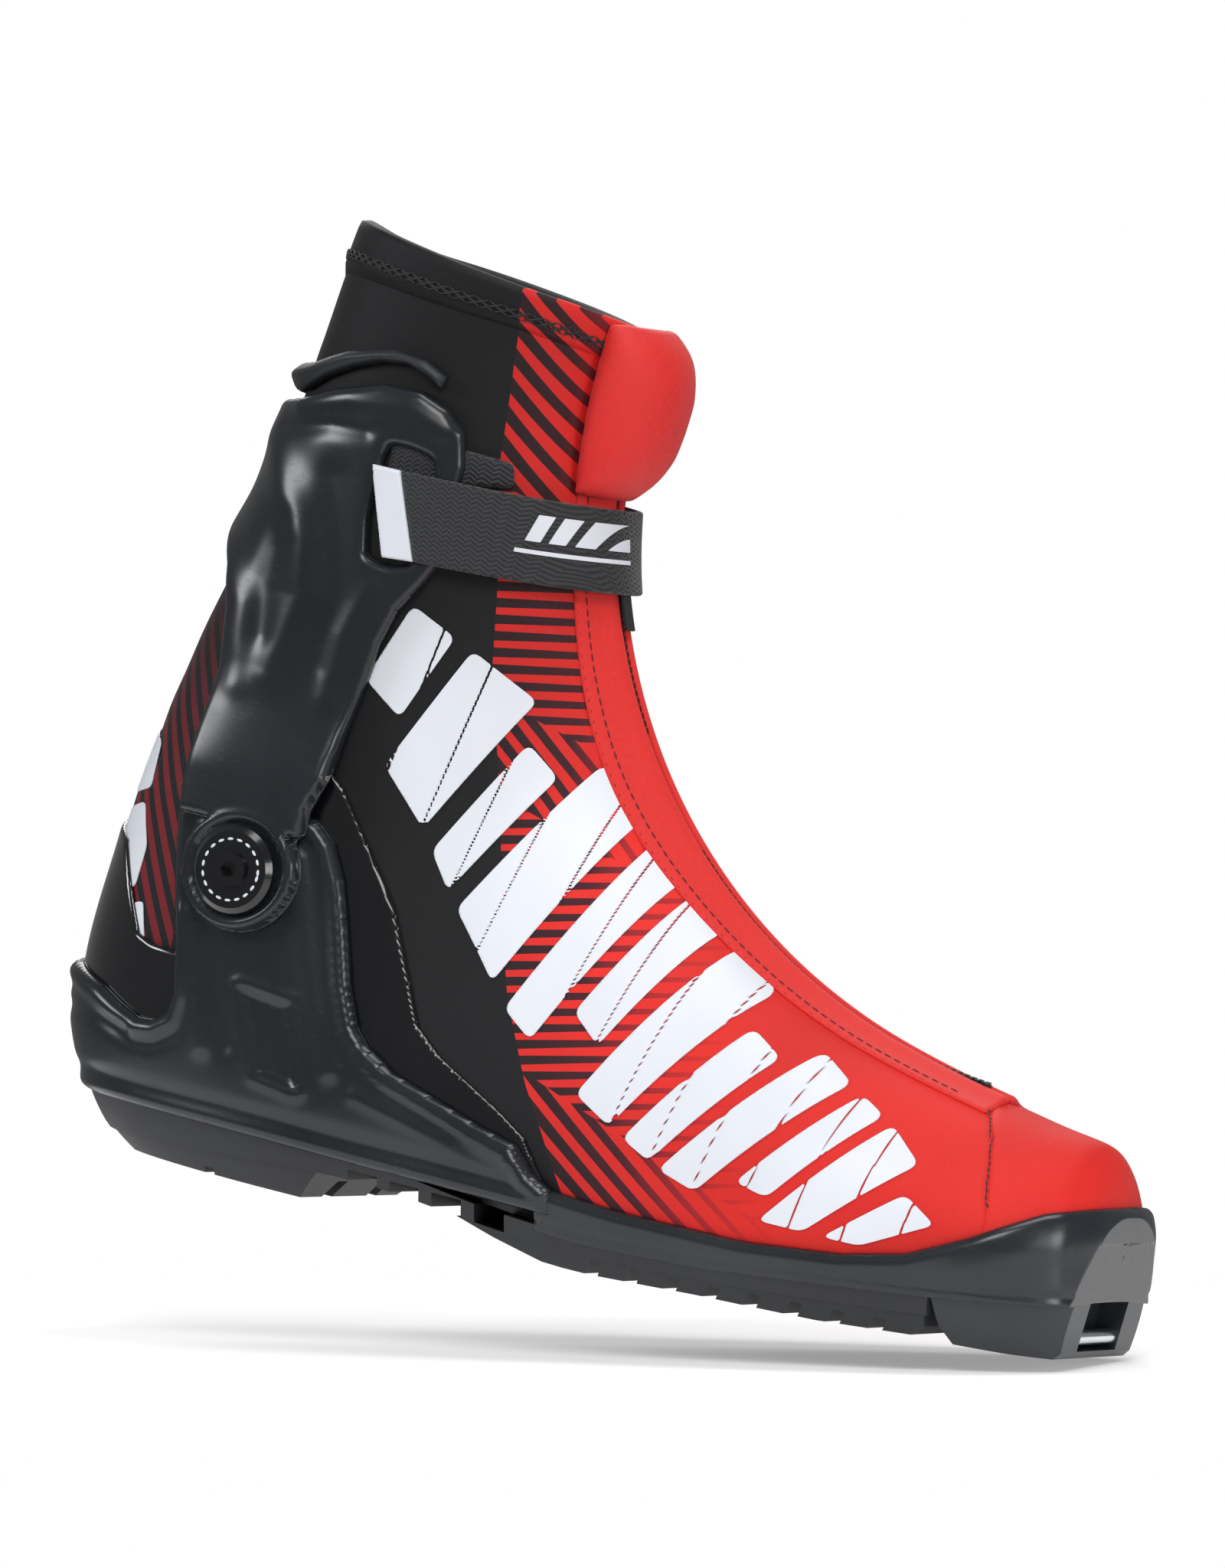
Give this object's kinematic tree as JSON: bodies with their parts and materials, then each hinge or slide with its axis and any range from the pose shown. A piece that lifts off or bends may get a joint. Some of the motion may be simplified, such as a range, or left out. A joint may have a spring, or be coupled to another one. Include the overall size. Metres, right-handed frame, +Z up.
{
  "type": "cross country ski boot",
  "caption": "Skate-style cross country ski boot with a pivoting ankle cuff, strap, front zip and a toe bar for the binding.",
  "frame": {"origin": "on the floor, below the middle of the boot's bounding box", "axes": "+X to the toe, +Z up, -Y to the outer side of the right foot"},
  "size_m": [0.3045, 0.1024, 0.2543],
  "materials": {
    "sole_rubber": "moulded matt rubber compound",
    "sole_block": "moulded satin slate",
    "steel": "bright",
    "shell_plastic": "satin moulded, fine grain",
    "gloss_plastic": "high gloss",
    "softshell": "red laminated softshell with a printed pattern",
    "overlay": "thin welded film",
    "lining": "brushed textile",
    "board": "fibreboard",
    "tape": "woven tape",
    "zip_coil": "moulded coil",
    "soft_rim": "soft moulded",
    "webbing": "ribbed webbing",
    "padding": "padded fabric",
    "white_tab": "moulded soft plastic",
    "slider_metal": "black painted",
    "pivot_plastic": "satin moulded"
  },
  "bodies": {
    "boot": {"outsole": "sole_rubber", "heel_tread": "sole_rubber", "forefoot_tread": "sole_rubber", "toe_block": "sole_block", "toe_bar": "steel", "rand": "shell_plastic", "heel_shell": "shell_plastic", "heel_counter": "gloss_plastic", "upper_foot": "softshell", "toe_cap": "overlay", "quarter_overlay": "overlay", "lining_foot": "lining", "insole": "lining", "lasting_board": "board", "zip_tape_foot": "tape", "zip_teeth_foot": "zip_coil", "pivot_cap_lateral": "pivot_plastic", "pivot_cap_medial": "pivot_plastic", "pivot_screw_lateral": "steel", "pivot_screw_medial": "steel", "pivot_bushing_lateral": "pivot_plastic", "pivot_bushing_medial": "pivot_plastic", "pivot_nut_lateral": "steel", "pivot_nut_medial": "steel"},
    "cuff": {"cuff": "shell_plastic", "cuff_rim": "soft_rim", "cuff_lining": "lining", "upper_shaft": "softshell", "shaft_lining": "lining", "collar_band": "webbing", "tongue": "padding", "zip_tape_shaft": "tape", "zip_teeth_shaft": "zip_coil", "strap_base": "webbing", "strap_rivets": "steel"},
    "strap": {"strap": "webbing", "strap_tip": "white_tab"},
    "zip_slider": {"zip_slider": "slider_metal", "zip_pull": "slider_metal"}
  },
  "joints": [
    {"name": "cuff_pivot", "type": "hinge", "parent": "boot", "child": "cuff", "pos_m": [-0.095, 0, 0.081], "axis": [0, 1, 0], "range_deg": [-4, 15], "stiffness_Nm_per_rad": 4},
    {"name": "strap_fold", "type": "hinge", "parent": "cuff", "child": "strap", "pos_m": [-0.07185, 0.044, 0.181], "axis": [0, 0, 1], "range_deg": [0, 95]},
    {"name": "zip_travel", "type": "hinge", "parent": "cuff", "child": "zip_slider", "pos_m": [0.116, 0, 0.218], "axis": [0, -1, 0], "range_deg": [0, 10]}
  ]
}
